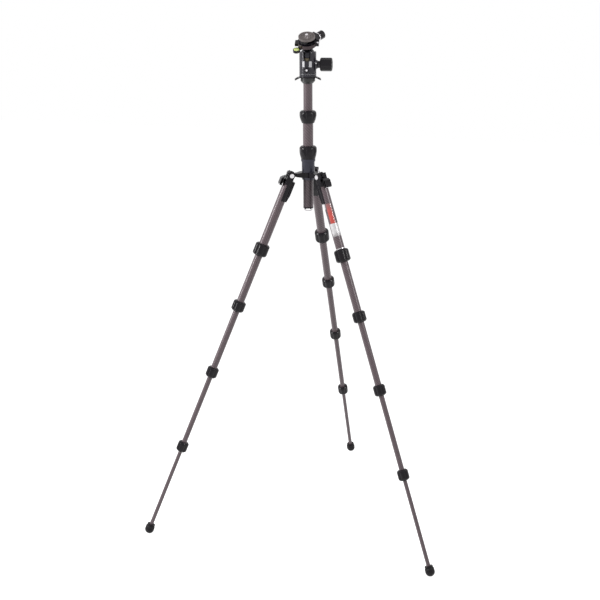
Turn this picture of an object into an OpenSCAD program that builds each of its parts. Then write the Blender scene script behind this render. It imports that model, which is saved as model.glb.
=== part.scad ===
// Travel tripod: three folding legs of five nested tubes, a two-part centre column and a ball head.
// Millimetres. The origin is on the ground under the middle of the footprint, and one leg points to +Y.

/* [Stance] */
// Angle of a standing leg from the vertical
leg_angle = 22.8; // [20:0.1:25]
// Distance from the column axis to a leg's hinge pin
hinge_r = 43.3; // [42:0.1:56]
// Second stop angle of a leg from the vertical
stop_angle_2 = 56; // [54:1:60]
// Third stop angle of a leg from the vertical
stop_angle_3 = 89; // [87:1:92]

/* [Leg tubes] */
// Outer diameter of the first leg section
leg_top_d = 22; // [21:0.5:24]
// Wall of a leg tube
leg_wall = 1.1; // [0.9:0.05:1.3]
// Radial gap between a leg tube and the next one inside it
leg_gap = 0.4; // [0.3:0.05:0.5]
// Distance from the hinge pin to the first lock
leg_show_1 = 181.6; // [150:0.1:220]
// Visible length of the second leg section
leg_show_2 = 123.6; // [100:0.1:140]
// Visible length of the third leg section
leg_show_3 = 155.9; // [120:0.1:175]
// Visible length of the fourth leg section
leg_show_4 = 184.4; // [150:0.1:205]
// Visible length of the fifth leg section
leg_show_5 = 214.8; // [180:0.1:235]
// Length of an inner tube above the top of its lock
leg_overlap = 27; // [24:1:40]
// Length of the thin bush round the top of an inner tube
bush_len = 14; // [8:1:20]

/* [Leg locks] */
// Outer diameter of the first lock
lock_d_1 = 38; // [36:0.5:42]
// Outer diameter of the second lock
lock_d_2 = 34; // [33:0.5:38]
// Outer diameter of the third lock
lock_d_3 = 31; // [30:0.5:35]
// Outer diameter of the fourth lock
lock_d_4 = 29; // [28:0.5:33]
// Length of the first lock
lock_h_1 = 32.5; // [30:0.5:38]
// Length of the other locks
lock_h = 28.3; // [27:0.1:34]
// Radius of a lock's rounded ends
lock_round = 8; // [4:0.1:8.5]
// Number of grip pads round a lock
lock_pads = 6; // [5:1:8]
// Turn of the grip pads round a leg
lock_turn = -12; // [-30:1:30]
// Length of the threaded collar inside a lock
thread_len = 16; // [12:1:18]
// Wall of the threaded collar
thread_wall = 1.3; // [1:0.1:1.5]
// Length of the split collet that grips the inner tube
collet_len = 6; // [4:0.5:7]
// Width of the slit in a collet or bush
collet_slit = 1.5; // [1:0.1:3]

/* [Feet] */
// Outer diameter of a rubber foot
foot_d = 23.5; // [21:0.5:27]
// Outer diameter of a foot's neck
foot_neck_d = 20.5; // [16:0.5:22]
// Length of a foot
foot_h = 26; // [24:0.5:34]
// Length of the neck
foot_neck_h = 7; // [4:0.5:9]
// Depth of the tube's socket in a foot
foot_socket = 13; // [8:0.5:16]
// Depth of the grooves round a foot
foot_groove = 0.8; // [0.4:0.1:1.2]

/* [Leg hinges] */
// Width over the two prongs of a leg yoke
yoke_w = 24; // [22:0.5:30]
// Width of the yoke's body below the prongs
yoke_body_w = 22; // [20:0.5:24]
// Thickness of the spider's arm between the prongs
web_t = 7; // [5:0.5:9]
// Distance from the pin to the yoke's flat top
yoke_top = 7.5; // [7:0.1:9]
// Distance from the pin to the yoke's outer face
yoke_out = 9; // [8:0.1:11]
// Distance from the pin down to the top of the first tube
socket_t = 16.6; // [16.6:0.1:19]
// Distance from the pin down to the end of the full ring round the tube
ring_t = 25; // [22:0.5:30]
// Distance from the pin down to the end of the inner tongue
tongue_t = 66; // [55:1:80]
// Distance from the pin down to where the tongue starts to thin
tongue_knee_t = 48; // [40:1:52]
// Thickness of the tongue on the inner side of the tube
tongue_h = 4.5; // [3.5:0.1:6]
// Width of the tongue
tongue_w = 16; // [12:0.5:20]
// Wall of the ring round the tube
ring_wall = 1.3; // [1:0.1:2]
// Length of the yoke's plug inside the tube
plug_len = 7; // [4:0.5:7]
// Diameter of the hinge pin
pin_d = 6; // [5:0.5:7]
// Diameter of the cap on each end of the pin
pin_cap_d = 10.6; // [9:0.1:13]
// Thickness of the cap
pin_cap_t = 1.6; // [1:0.1:2.5]
// Diameter of the hexagon socket in the cap
pin_hex_d = 3.6; // [3:0.1:4.5]

/* [Leg angle stops] */
// Radius of the stop teeth round the pin
tooth_r = 12.6; // [12:0.1:12.8]
// Radius of the notches between the teeth
notch_r = 10.4; // [9.8:0.1:10.6]
// Thickness of the stop tab's nose along the leg
nose_h = 3; // [2.5:0.1:3.2]
// Distance from the pin down to the nose
nose_t = 5; // [4.5:0.1:5.5]
// Travel of the stop tab towards the pin
tab_travel = 2.2; // [1.5:0.1:2.4]
// Width of the stop tab
tab_w = 18; // [16:0.5:22]
// Distance from the tube's axis to the tab's outer face
tab_out = 21.4; // [20.5:0.1:25]
// Distance from the pin down to the end of the tab
tab_end_t = 30.5; // [28:0.5:34]
// Depth of the finger pocket in each side of the tab
tab_pocket = 6; // [3:0.5:7]
// Diameter of the screw at the foot of the tab
tab_screw_d = 3.6; // [2.5:0.1:4]

/* [Spider] */
// Outer diameter of the sleeve round the column
sleeve_d = 31.5; // [31:0.5:33]
// Height of the sleeve above the pins
sleeve_top = 33; // [31:0.1:40]
// Outer diameter of the band that carries the arms
hub_d = 33.2; // [33.2:0.2:35]
// Height of the arms' root above the pins
hub_up = 6.8; // [6:0.1:10]
// Depth of the hub below the pins
hub_down = 12; // [9:0.1:13]
// Width of an arm at its root
arm_root_w = 24; // [20:0.5:28]
// Width of an arm's shoulder beside the yoke
arm_shoulder_w = 14; // [11:0.5:16]
// Height of an arm above the pin at the yoke
arm_tip_up = 4.6; // [4:0.2:5]
// Depth of an arm below the pin at the yoke
arm_tip_down = 3; // [2:0.2:4]

/* [Centre column] */
// Outer diameter of the lower column tube
column_d = 25; // [24:0.5:25]
// Wall of a column tube
column_wall = 1.1; // [0.9:0.05:1.3]
// Radial gap between the two column tubes
column_gap = 0.4; // [0.3:0.05:0.5]
// Length of the lower tube below the pins
column_drop = 80; // [70:1:120]
// Visible length of the lower tube between its two locks
column_show = 55.4; // [50:0.1:75]
// Visible length of the upper tube
column_show_2 = 64.3; // [52:0.1:75]
// Length of the upper tube below the top of its lock
column_overlap = 144; // [110:1:150]
// Outer diameter of the collar under the lower lock
canopy_d = 35; // [34.5:0.5:37]
// Height of that collar's flange
canopy_flange = 6; // [4:0.5:8]
// Wall of the split bush round the lower tube
canopy_bush = 1; // [0.8:0.1:1.2]
// Outer diameter of the lower lock
canopy_lock_d = 43; // [42:0.1:45]
// Length of the lower lock
canopy_lock_h = 31.7; // [30:0.1:36]
// Outer diameter of the upper lock
column_lock_d = 41.5; // [40:0.1:43]
// Length of the upper lock
column_lock_h = 30; // [29:0.1:36]
// Height of the lower end cap
cap_h = 3; // [2:0.5:6]

/* [Weight hook] */
// Diameter of the hook's wire
hook_wire = 2.6; // [2:0.1:3.2]
// Width of the hook's loop over its wire
hook_w = 24; // [22:0.5:25]
// Depth of the hook below its pivot
hook_depth = 8.6; // [8.4:0.1:16]

/* [Head base and strap plate] */
// Diameter of the neck below the strap plate
neck_d = 35; // [32:0.5:38]
// Diameter of the neck's lower end
neck_low_d = 24.5; // [24:0.5:27]
// Height of the neck
neck_h = 13.5; // [13:0.1:18]
// Height of the neck's flare
neck_flare_h = 5.5; // [4:0.5:8]
// Depth of the upper tube's socket in the neck
neck_socket = 9.5; // [8:0.1:10]
// Thickness of the strap plate
strap_t = 3; // [2.5:0.1:4]
// Diameter of the strap plate
strap_d = 42; // [40.5:0.5:44]
// Span over the two strap ears
strap_span = 63; // [62:0.5:68]
// Width of a strap ear
ear_w = 25; // [22:0.5:30]
// Thickness of a strap ear
ear_t = 2.4; // [1.8:0.1:2.8]
// Width of the frame round an ear's slot
ear_frame = 2.2; // [1.8:0.1:2.6]
// Droop of an ear below the horizontal
ear_droop = 26; // [24:1:34]
// Turn of the strap ears round the column
strap_turn = 17.5; // [0:0.5:30]
// Diameter of the head's mounting stud
stud_d = 9.5; // [9.5:0.1:10]
// Length of the stud above the neck
stud_len = 11; // [9:0.5:13]

/* [Ball head] */
// Turn of the ball-lock knob round the column
head_turn = 11; // [0:1:20]
// Outer diameter of the housing
housing_d = 40.4; // [40:0.2:43]
// Height of the turning base
base_h = 8; // [7:0.5:10]
// Width and depth of the groove round the turning base
base_groove = 0.5; // [0.3:0.1:0.8]
// Height of the housing above the turning base
housing_h = 50; // [48:0.5:54]
// Diameter of the axle that the housing turns on
axle_d = 24; // [20:0.5:26]
// Height of that axle
axle_h = 11; // [10.5:0.5:12]
// Diameter of the ball
ball_d = 34; // [32:0.5:34.5]
// Height of the rim above the ball's centre
rim_up = 7; // [6:0.5:8]
// Lean of the ball's stem from the vertical
head_tilt = 28; // [0:0.5:37]
// Diameter of the ball's stem
stem_d = 11.5; // [10:0.5:12]
// Width of the drop notch
notch_w = 15; // [13:0.1:16]
// Depth of the drop notch below the ball's centre
notch_drop = 15; // [9:0.1:16]
// Radius of the housing's rounded rim
rim_round = 2; // [1:0.1:2.4]
// Height of the ball seat
seat_h = 21; // [18:0.5:22]
// Diameter of the ball-lock knob
knob_d = 32; // [28:0.5:34]
// Length of the ball-lock knob
knob_len = 29; // [24:0.5:34]
// Radius of the ball-lock knob's rounded ends
knob_round = 3.6; // [2:0.1:5]
// Number of grip pads round a knob
knob_pads = 8; // [6:1:10]
// Distance from the axis to the knob's inner face
knob_in = 29.5; // [28:0.5:34]
// Height of the knob's axis above the turning base
knob_z = 19.5; // [19:0.5:21]
// Diameter of the boss that carries the knob
boss_d = 17; // [14:0.5:19]
// Diameter of the boss's flare at the housing
boss_flare_d = 25; // [22:0.5:27]
// Diameter of a lock screw
lock_screw_d = 8; // [6:0.5:9]
// Diameter of the pan-lock knob
pan_knob_d = 12; // [10:0.5:13]
// Length of the pan-lock knob
pan_knob_len = 8; // [6:0.5:12]
// Diameter of the pan-lock screw
pan_screw_d = 5; // [4:0.5:6]

/* [Clamp] */
// Turn of the clamp's knob on the stem
clamp_turn = 50; // [30:1:60]
// Height of the clamp's lower face above the ball's centre
clamp_z = 22; // [21:0.5:26]
// Diameter of the clamp
clamp_d = 38; // [37:0.1:39]
// Height of the clamp up to its channel
clamp_h = 17; // [16.5:0.1:18]
// Half width of the dovetail channel at its mouth
dovetail_half = 10.5; // [9:0.5:11]
// Depth of the dovetail channel
dovetail_h = 5; // [4:0.1:5.5]
// Distance from the clamp's axis to the moving jaw's inner face
jaw_in = 15.4; // [15:0.1:16]
// Distance from the clamp's axis to the moving jaw's outer face
jaw_out = 34.5; // [31:0.1:36]
// Length of the moving jaw
jaw_len = 16; // [13:0.1:17]
// Height of the clamp screw above the clamp's lower face
clamp_screw_up = 8.5; // [8:0.1:9]
// Diameter of the clamp screw
clamp_screw_d = 5; // [4:0.5:6]
// Diameter of the clamp knob
clamp_knob_d = 20; // [17:0.5:22]
// Length of the clamp knob
clamp_knob_len = 16; // [13:0.1:20]
// Thickness of the washer behind the clamp knob
washer_t = 1.5; // [1:0.1:2.5]
// Diameter of the clamp's hub on the stem
clamp_hub_d = 26; // [22:0.5:30]
// Height of the clamp's hub
clamp_hub_h = 3.5; // [3:0.1:5]
// Diameter of the clamp's wide lower disc
clamp_base_d = 46; // [42:0.5:47]
// Height of that disc
clamp_base_h = 10.5; // [9:0.1:12]
// Half length of the cross bar in the lower disc
wing_half = 28.3; // [27:0.1:31]
// Reach of the cross bar on its downhill side
wing_low = 9; // [7:0.1:10]
// Reach of the cross bar on its uphill side
wing_high = 7.5; // [6:0.1:7.5]
// Thickness of the cross bar
wing_t = 6.6; // [5:0.1:8]
// Step from the lower disc's top down to the cross bar
wing_step = 1.5; // [0.5:0.1:2.5]
// Distance from the clamp's axis to the cross bar's screw
wing_screw_x = 25.8; // [25.7:0.1:26]
// Distance of that screw downhill from the clamp's axis
wing_screw_y = 5; // [4:0.1:6]
// Diameter of the cross bar's screw
wing_screw_d = 4.6; // [3.6:0.1:4.8]
// Diameter of the spirit level
level_d = 13; // [11:0.5:15]
// Distance from the clamp's axis to the spirit level
level_out = 31.6; // [30.5:0.1:34]
// Direction of the spirit level on the head
level_turn = 222; // [215:1:230]
// Wall of the spirit level's cup
level_wall = 1.8; // [1.2:0.1:2.2]
// Drop of the spirit level's cup below the clamp's lower disc
level_drop = 4.4; // [3:0.1:4.6]
// Height of the spirit level
level_h = 6; // [5:0.1:8]

/* [Release plate] */
// Diameter of the release plate
plate_d = 39.5; // [39:0.1:42]
// Thickness of the release plate above its dovetail
plate_t = 5.6; // [5:0.1:8]
// Length of the dovetail foot
plate_foot_len = 22; // [20:0.5:26]
// Diameter of the camera screw
camera_screw_d = 6.35; // [6.35:0.01:6.35]
// Length of the camera screw above the plate
camera_screw_up = 5; // [4:0.5:6]
// Diameter of the camera screw's head
camera_head_d = 15; // [12:0.5:18]
// Thickness of the camera screw's head
camera_head_t = 3; // [2:0.5:3.5]

/* [Clearances] */
// Gap between a glued piece and its seat
glue_gap = 0.05; // [0.03:0.01:0.08]
// Radial clearance of a running fit
run_gap = 0.1; // [0.05:0.01:0.1]
// Gap between faces that move past each other
face_gap = 0.3; // [0.2:0.05:0.5]

/* [Hidden] */
$fn = 64;

// Overrun of every cut past the face that it opens
over = 2;
// Straight steps in a quarter of a grip's rounded edge
round_steps = 3;
// Directions of the three legs round the column
back = 90;
left = 210;
right = 330;

// Leg lengths, measured down the leg from its hinge pin
shows = [leg_show_1, leg_show_2, leg_show_3, leg_show_4, leg_show_5];
lock_ds = [lock_d_1, lock_d_2, lock_d_3, lock_d_4];
function leg_d(i) = leg_top_d - 2 * i * (leg_wall + leg_gap);
function lock_len(i) = i == 0 ? lock_h_1 : lock_h;
function lock_t(i) = i == 0 ? shows[0] : lock_t(i - 1) + lock_len(i - 1) + shows[i];
last_lock = len(lock_ds) - 1;
last_section = len(shows) - 1;
foot_t = lock_t(last_lock) + lock_len(last_lock) + shows[last_section];
foot_r = foot_d / 2;
foot_centre_t = foot_t + foot_h - foot_r;

// The stance puts the feet on the ground and the origin under the middle of the footprint
hub_height = foot_centre_t * cos(leg_angle) + foot_r;
foot_circle_r = hinge_r + foot_centre_t * sin(leg_angle);
column_y = -foot_circle_r / 4;

// Yoke and stop tab
slot_w = web_t + 2 * face_gap;
bridge_t = tooth_r + 2 * face_gap;
tube_seat_r = leg_top_d / 2 + glue_gap;
ring_r = leg_top_d / 2 + ring_wall;
tab_in = ring_r + tab_travel + face_gap;
nose_in = sqrt(pow(tooth_r + face_gap, 2) - pow(nose_t, 2));

// Column heights above the hinge pins
tube_2_d = column_d - 2 * (column_wall + column_gap);
bush_r = column_d / 2 + run_gap + canopy_bush;
canopy_seat_r = bush_r + glue_gap;
canopy_thread_r = canopy_seat_r + thread_wall;
canopy_lock_z = sleeve_top + canopy_flange + face_gap;
column_lock_z = canopy_lock_z + canopy_lock_h + column_show;
column_thread_r = column_d / 2 + glue_gap + thread_wall;
neck_z = column_lock_z + column_lock_h + column_show_2;
strap_z = neck_z + neck_h;
base_z = strap_z + strap_t;
housing_z = base_z + base_h + face_gap;
ball_up = housing_h - rim_up;
ball_z = housing_z + ball_up;

// Clamp heights above the ball's centre
channel_z = clamp_z + clamp_h;
plate_foot_z = channel_z + face_gap / 2;
plate_z = plate_foot_z + dovetail_h + face_gap / 2;
plate_top_z = plate_z + plate_t;
jaw_top_z = channel_z + dovetail_h;
clamp_screw_z = clamp_z + clamp_screw_up;
clamp_base_z = clamp_z + clamp_hub_h;
clamp_base_top_z = clamp_base_z + clamp_base_h;
wing_top_z = clamp_base_top_z - wing_step;
level_z = clamp_base_z - level_drop;
level_floor_share = 0.33;
level_floor = level_floor_share * level_h;

// Puts a piece on the column axis, with z = 0 at the hinge pins
module on_column(z = 0) {
    translate([0, column_y, hub_height + z]) children();
}

// Puts a piece on a leg: x points outwards from the tube, y along the hinge pin, z down the leg
module on_leg(az) {
    on_column() rotate([0, 0, az]) translate([hinge_r, 0, 0]) rotate([180, -leg_angle, 0]) children();
}

// Puts a piece on the head: x points along the ball-lock knob, -y through the drop notch
module on_head(z) {
    on_column(z) rotate([0, 0, head_turn]) children();
}

// Puts a piece on the clamp: z = 0 at the ball's centre, x points along the clamp knob
module on_clamp(turn = clamp_turn) {
    on_head(ball_z) rotate([head_tilt, 0, 0]) rotate([0, 0, turn]) children();
}

// A side outline in x and z, given a width along y
module side(w) {
    rotate([90, 0, 0]) linear_extrude(w, center = true) children();
}

// A tube from height a to height b
module tube(d, bore, a, b) {
    difference() {
        translate([0, 0, a]) cylinder(d = d, h = b - a);
        translate([0, 0, a - over]) cylinder(d = bore, h = b - a + 2 * over);
    }
}

// A split ring with one slit through its wall
module split_ring(d, bore, a, b) {
    difference() {
        tube(d, bore, a, b);
        translate([0, -collet_slit / 2, a - over]) cube([d, collet_slit, b - a + 2 * over]);
    }
}

// The cross-section of a grip: convex pads that meet in creases
module pads_2d(d, n) {
    pad_share = 0.56;
    for (k = [0:n - 1])
        rotate([0, 0, k * 360 / n])
            translate([(1 - pad_share) * d / 2, 0])
                circle(d = pad_share * d);
}

// A quarter of a rounded edge as straight steps from its flank to its end face
function edge_points(r, z, round_r, up) = [for (k = [0:round_steps]) let (a = up * 90 * k / round_steps)
    [r - round_r + round_r * cos(a), z - up * round_r + round_r * sin(a)]];
function backwards(v) = [for (k = [len(v) - 1:-1:0]) v[k]];

// Half the outline of a barrel: rounded ends, or a drawn-in lower part when low_d is below d
module barrel_2d(d, h, round_r, low_d) {
    belly_z_share = 0.6;
    knee_z_share = 0.25;
    knee_share = 0.45;
    drawn_in = [[low_d / 2, 0], [low_d / 2 + (1 - knee_share) * (d - low_d) / 2, knee_z_share * h],
        [d / 2, belly_z_share * h]];
    low = low_d < d ? drawn_in : backwards(edge_points(d / 2, 0, round_r, -1));
    polygon(concat([[0, 0]], low, edge_points(d / 2, h, round_r, 1), [[0, h]]));
}

// A padded grip along z with rounded ends
module grip(d, h, round_r, n, low_d) {
    intersection() {
        linear_extrude(h) pads_2d(d, n);
        rotate_extrude() barrel_2d(d, h, round_r, low_d);
    }
}

// A twist lock along z: thread bore at z = 0, collet chamber, and a lip round the inner tube
module twist_lock(d, h, low_d, thread_r, inner_d) {
    lip_z = thread_len + collet_len + 2 * face_gap;
    difference() {
        grip(d, h, lock_round, lock_pads, low_d);
        translate([0, 0, -over]) cylinder(r = thread_r + run_gap, h = over + lip_z);
        cylinder(d = inner_d + 2 * face_gap, h = h + over);
    }
    split_ring(2 * thread_r, inner_d + 2 * run_gap, thread_len + face_gap, lip_z - face_gap);
}

// A threaded collar glued round a tube's end, with a shallow groove for each turn of its thread
module thread_collar(r, bore_r, a, b) {
    groove_share = 0.3;
    groove_h_share = 0.33;
    turns = 5;
    pitch = (b - a) / (turns + 1);
    difference() {
        tube(2 * r, 2 * bore_r, a, b);
        for (k = [1:turns])
            translate([0, 0, a + k * pitch])
                tube(2 * (r + over), 2 * (r - groove_share * (r - bore_r)), 0, groove_h_share * pitch);
    }
}

module spider() {
    color("#3a3a42") {
        on_column() difference() {
            union() {
                cylinder(d = sleeve_d, h = sleeve_top);
                translate([0, 0, -hub_down / 2]) cylinder(d = hub_d, h = hub_down / 2 + hub_up);
                translate([0, 0, -hub_down])
                    cylinder(r1 = canopy_seat_r + thread_wall, r2 = hub_d / 2, h = hub_down / 2);
                for (az = [back, left, right]) rotate([0, 0, az]) spider_arm();
            }
            translate([0, 0, -hub_down - over])
                cylinder(r = canopy_seat_r, h = hub_down + sleeve_top + 2 * over);
            for (az = [back, left, right])
                rotate([0, 0, az]) translate([hinge_r, 0, 0]) rotate([90, 0, 0])
                    cylinder(d = pin_d + 2 * glue_gap, h = yoke_w, center = true);
        }
    }
}

// One arm of the spider, from the column axis out to its toothed end round the pin
module spider_arm() {
    swing_r = norm([yoke_out, yoke_top]) + 2 * face_gap;
    shoulder_x = hinge_r - swing_r;
    intersection() {
        side(arm_root_w) {
            translate([hinge_r, 0]) teeth_2d();
            arm_side_2d(shoulder_x);
        }
        linear_extrude(4 * hub_d, center = true) polygon([
            [0, -arm_root_w / 2], [hub_d / 2, -arm_root_w / 2], [shoulder_x, -arm_shoulder_w / 2],
            [shoulder_x, -web_t / 2], [hinge_r + tooth_r + over, -web_t / 2],
            [hinge_r + tooth_r + over, web_t / 2], [shoulder_x, web_t / 2],
            [shoulder_x, arm_shoulder_w / 2], [hub_d / 2, arm_root_w / 2], [0, arm_root_w / 2]]);
    }
}

// The side outline of an arm between the hub and the pin
module arm_side_2d(shoulder_x) {
    mid_share = 0.55;
    tip_x = hinge_r - notch_r;
    mid_x = hub_d / 2 + mid_share * (tip_x - hub_d / 2);
    mid_up = arm_tip_up + (1 - mid_share) * (hub_up - arm_tip_up) / 2;
    polygon([
        [0, -hub_down / 2], [hub_d / 2, -hub_down / 2], [hinge_r, -arm_tip_down], [hinge_r, arm_tip_up],
        [tip_x, arm_tip_up], [mid_x, mid_up], [hub_d / 2 + over, hub_up], [0, hub_up]]);
}

// The toothed disc round a hinge pin, in side view. The tab's nose drops into a notch at each stop angle.
module teeth_2d() {
    circle(notch_r);
    angles = [leg_angle, stop_angle_2, stop_angle_3, stop_angle_3 + stop_angle_2 - leg_angle];
    for (k = [0:2])
        intersection() {
            circle(tooth_r);
            rotate(angles[k])
                translate([0, face_gap - nose_t]) square([tooth_r, tooth_r + nose_t]);
            rotate(angles[k + 1])
                translate([0, -nose_t - nose_h - face_gap - tooth_r]) square([tooth_r, tooth_r]);
        }
}

module hinge_pins() {
    color("#d8d8d8")
        on_column() for (az = [back, left, right])
            rotate([0, 0, az]) translate([hinge_r, 0, 0]) rotate([90, 0, 0])
                difference() {
                    union() {
                        cylinder(d = pin_d, h = yoke_w + 2 * face_gap, center = true);
                        for (s = [-1, 1])
                            translate([0, 0, s * (yoke_w / 2 + face_gap + pin_cap_t / 2)])
                                cylinder(d = pin_cap_d, h = pin_cap_t, center = true);
                    }
                    for (s = [-1, 1])
                        translate([0, 0, s * (yoke_w / 2 + face_gap + pin_cap_t)])
                            cylinder(d = pin_hex_d, h = pin_cap_t, center = true, $fn = 6);
                }
}

module leg_yoke(az) {
    top_share = 0.33;
    tongue_root_share = 0.33;
    round_r = yoke_top;
    inner_x = -leg_top_d / 2 - tongue_h;
    root_x = -tongue_root_share * leg_top_d;
    cut_w = 2 * yoke_w;
    color("#232327") on_leg(az) {
        difference() {
            union() {
                side(yoke_w) {
                    circle(round_r);
                    polygon([
                        [-top_share * round_r, -yoke_top], [yoke_out, -yoke_top], [yoke_out, bridge_t],
                        [-round_r, bridge_t], [-round_r, 0]]);
                }
                side(yoke_body_w) translate([-round_r, 0]) square([round_r + yoke_out, socket_t]);
                translate([0, 0, bridge_t]) cylinder(r = ring_r, h = ring_t - bridge_t);
                intersection() {
                    translate([0, 0, ring_t - over]) cylinder(r = ring_r, h = tongue_t - ring_t + over);
                    translate([-2 * ring_r, -ring_r, 0])
                        cube([2 * ring_r + tongue_h / 2, 2 * ring_r, tongue_t]);
                }
                side(tongue_w) polygon([
                    [root_x, bridge_t], [inner_x, bridge_t], [inner_x, tongue_knee_t],
                    [-ring_r, tongue_t], [root_x, tongue_t]]);
            }
            translate([-cut_w, -slot_w / 2, bridge_t - cut_w]) cube([2 * cut_w, slot_w, cut_w]);
            translate([0, 0, socket_t]) cylinder(r = tube_seat_r, h = tongue_t);
            rotate([90, 0, 0]) cylinder(d = pin_d + 2 * run_gap, h = yoke_w + 2 * over, center = true);
        }
        translate([0, 0, bridge_t])
            cylinder(d = leg_d(0) - 2 * (leg_wall + glue_gap), h = socket_t - bridge_t + plug_len);
    }
}

module leg_stop_tab(az) {
    wall_share = 0.25;
    rib_share = 0.33;
    ribs = 4;
    knee_t = nose_t + nose_h;
    pocket_wall = wall_share * (tab_out - tab_in);
    color("#2a2a2e") on_leg(az) {
        difference() {
            side(tab_w) polygon([
                [tab_in, knee_t - face_gap], [tab_in + pocket_wall, knee_t], [tab_out, bridge_t + face_gap],
                [tab_out, tab_end_t - 2 * pocket_wall], [tab_out - pocket_wall, tab_end_t],
                [tab_in, tab_end_t]]);
            for (s = [-1, 1])
                translate([tab_in + pocket_wall, s * tab_w / 2 - tab_pocket, bridge_t + 2 * face_gap])
                    cube([2 * pocket_wall, 2 * tab_pocket, tab_end_t - bridge_t - 2 * pocket_wall]);
            for (k = [0:ribs - 1])
                translate([tab_out, 0, bridge_t + pocket_wall + k * pocket_wall])
                    rotate([90, 0, 0]) cylinder(d = rib_share * pocket_wall, h = tab_w + over, center = true);
        }
        translate([nose_in, -web_t / 2, nose_t]) cube([tab_in + pocket_wall / 2 - nose_in, web_t, nose_h]);
    }
    color("#e0e0e0") on_leg(az)
        translate([tab_in + pocket_wall, tab_w / 2 - tab_screw_d, tab_end_t + glue_gap])
            socket_screw(tab_screw_d);
}

// One leg section: its tube, the threaded collar at its lower end and the thin bush at its upper end
module leg_section(az, i) {
    d = leg_d(i);
    top = i == 0 ? socket_t + glue_gap : lock_t(i - 1) - leg_overlap;
    bottom = i == last_section ? foot_t + foot_socket - glue_gap : lock_t(i) + thread_len;
    color("#5d5660") on_leg(az) tube(d, d - 2 * leg_wall, top, bottom);
    color("#3c3c40") on_leg(az) {
        if (i < last_section)
            thread_collar(
                d / 2 + glue_gap + thread_wall, d / 2 + glue_gap, bottom - thread_len + face_gap, bottom);
        if (i > 0) split_ring(d + 2 * (leg_gap - run_gap), d + 2 * glue_gap, top, top + bush_len);
    }
}

module leg_lock(az, i) {
    color("#1f1f22")
        on_leg(az) translate([0, 0, lock_t(i)]) rotate([0, 0, lock_turn])
            twist_lock(
                lock_ds[i], lock_len(i), lock_ds[i], leg_d(i) / 2 + glue_gap + thread_wall, leg_d(i + 1));
}

module leg_foot(az) {
    groove_share = 0.33;
    groove_z = groove_share * foot_neck_h;
    color("#1b1b1d") on_leg(az) translate([0, 0, foot_t]) difference() {
        union() {
            cylinder(d = foot_neck_d, h = foot_neck_h);
            translate([0, 0, foot_neck_h / 2])
                cylinder(d1 = foot_neck_d - 2 * foot_groove, d2 = foot_d, h = foot_neck_h / 2);
            translate([0, 0, foot_neck_h]) cylinder(d = foot_d, h = foot_h - foot_r - foot_neck_h);
            translate([0, 0, foot_h - foot_r]) sphere(r = foot_r);
        }
        translate([0, 0, groove_z]) tube(foot_d + over, foot_neck_d - 2 * foot_groove, 0, foot_groove);
        translate([0, 0, foot_h - foot_r - foot_neck_h / 2])
            tube(foot_d + over, foot_d - 2 * foot_groove, 0, foot_groove);
        translate([0, 0, -over]) cylinder(d = leg_d(last_section) + 2 * glue_gap, h = foot_socket + over);
    }
}

module canopy_collar() {
    color("#4a4a54") on_column() {
        tube(canopy_d, 2 * canopy_seat_r, sleeve_top, sleeve_top + canopy_flange);
        thread_collar(canopy_thread_r, canopy_seat_r, sleeve_top + canopy_flange,
            canopy_lock_z + thread_len - face_gap);
    }
}

module canopy_bush() {
    color("#101012")
        on_column() split_ring(2 * bush_r, column_d + 2 * run_gap, 0, canopy_lock_z + thread_len - face_gap);
}

module canopy_lock() {
    color("#1f1f22")
        on_column(canopy_lock_z)
            twist_lock(canopy_lock_d, canopy_lock_h, canopy_d - run_gap, canopy_thread_r, column_d);
}

module column_tube_lower() {
    top = column_lock_z + thread_len;
    color("#5d5660") on_column() tube(column_d, column_d - 2 * column_wall, -column_drop, top);
    color("#3c3c40") on_column()
        thread_collar(column_thread_r, column_d / 2 + glue_gap, column_lock_z + face_gap, top);
}

module column_lock() {
    color("#1f1f22") on_column(column_lock_z)
        twist_lock(
            column_lock_d, column_lock_h, 2 * (column_thread_r + thread_wall), column_thread_r, tube_2_d);
}

module column_tube_upper() {
    bottom = column_lock_z + column_lock_h - column_overlap;
    top = neck_z + neck_socket - glue_gap;
    color("#5d5660") on_column() tube(tube_2_d, tube_2_d - 2 * column_wall, bottom, top);
    color("#3c3c40") on_column()
        split_ring(
            tube_2_d + 2 * (column_gap - run_gap), tube_2_d + 2 * glue_gap, bottom, bottom + 2 * bush_len);
}

// The plug in the lower end of the column, with two lugs that hold the hook's wire
module hook_cap() {
    lug_h_share = 3;
    lug_h = lug_h_share * hook_wire;
    color("#232327") on_column(-column_drop) difference() {
        union() {
            translate([0, 0, -cap_h]) cylinder(d = column_d, h = cap_h - glue_gap);
            translate([0, 0, -cap_h])
                cylinder(d = column_d - 2 * (column_wall + glue_gap), h = 2 * cap_h + lug_w);
            for (s = [-1, 1])
                translate([s * hook_pivot_x, 0, -cap_h])
                    cube([lug_w / 2, lug_w, lug_h], center = true);
        }
        translate([0, 0, hook_pivot_z]) rotate([0, 90, 0])
            cylinder(d = hook_wire + 2 * run_gap, h = 2 * column_d, center = true);
    }
}
lug_share = 2;
lug_w = lug_share * hook_wire;
hook_pivot_x = hook_w / 2 - lug_w;
hook_pivot_z = -cap_h - hook_wire / 2 - run_gap - face_gap;

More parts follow.
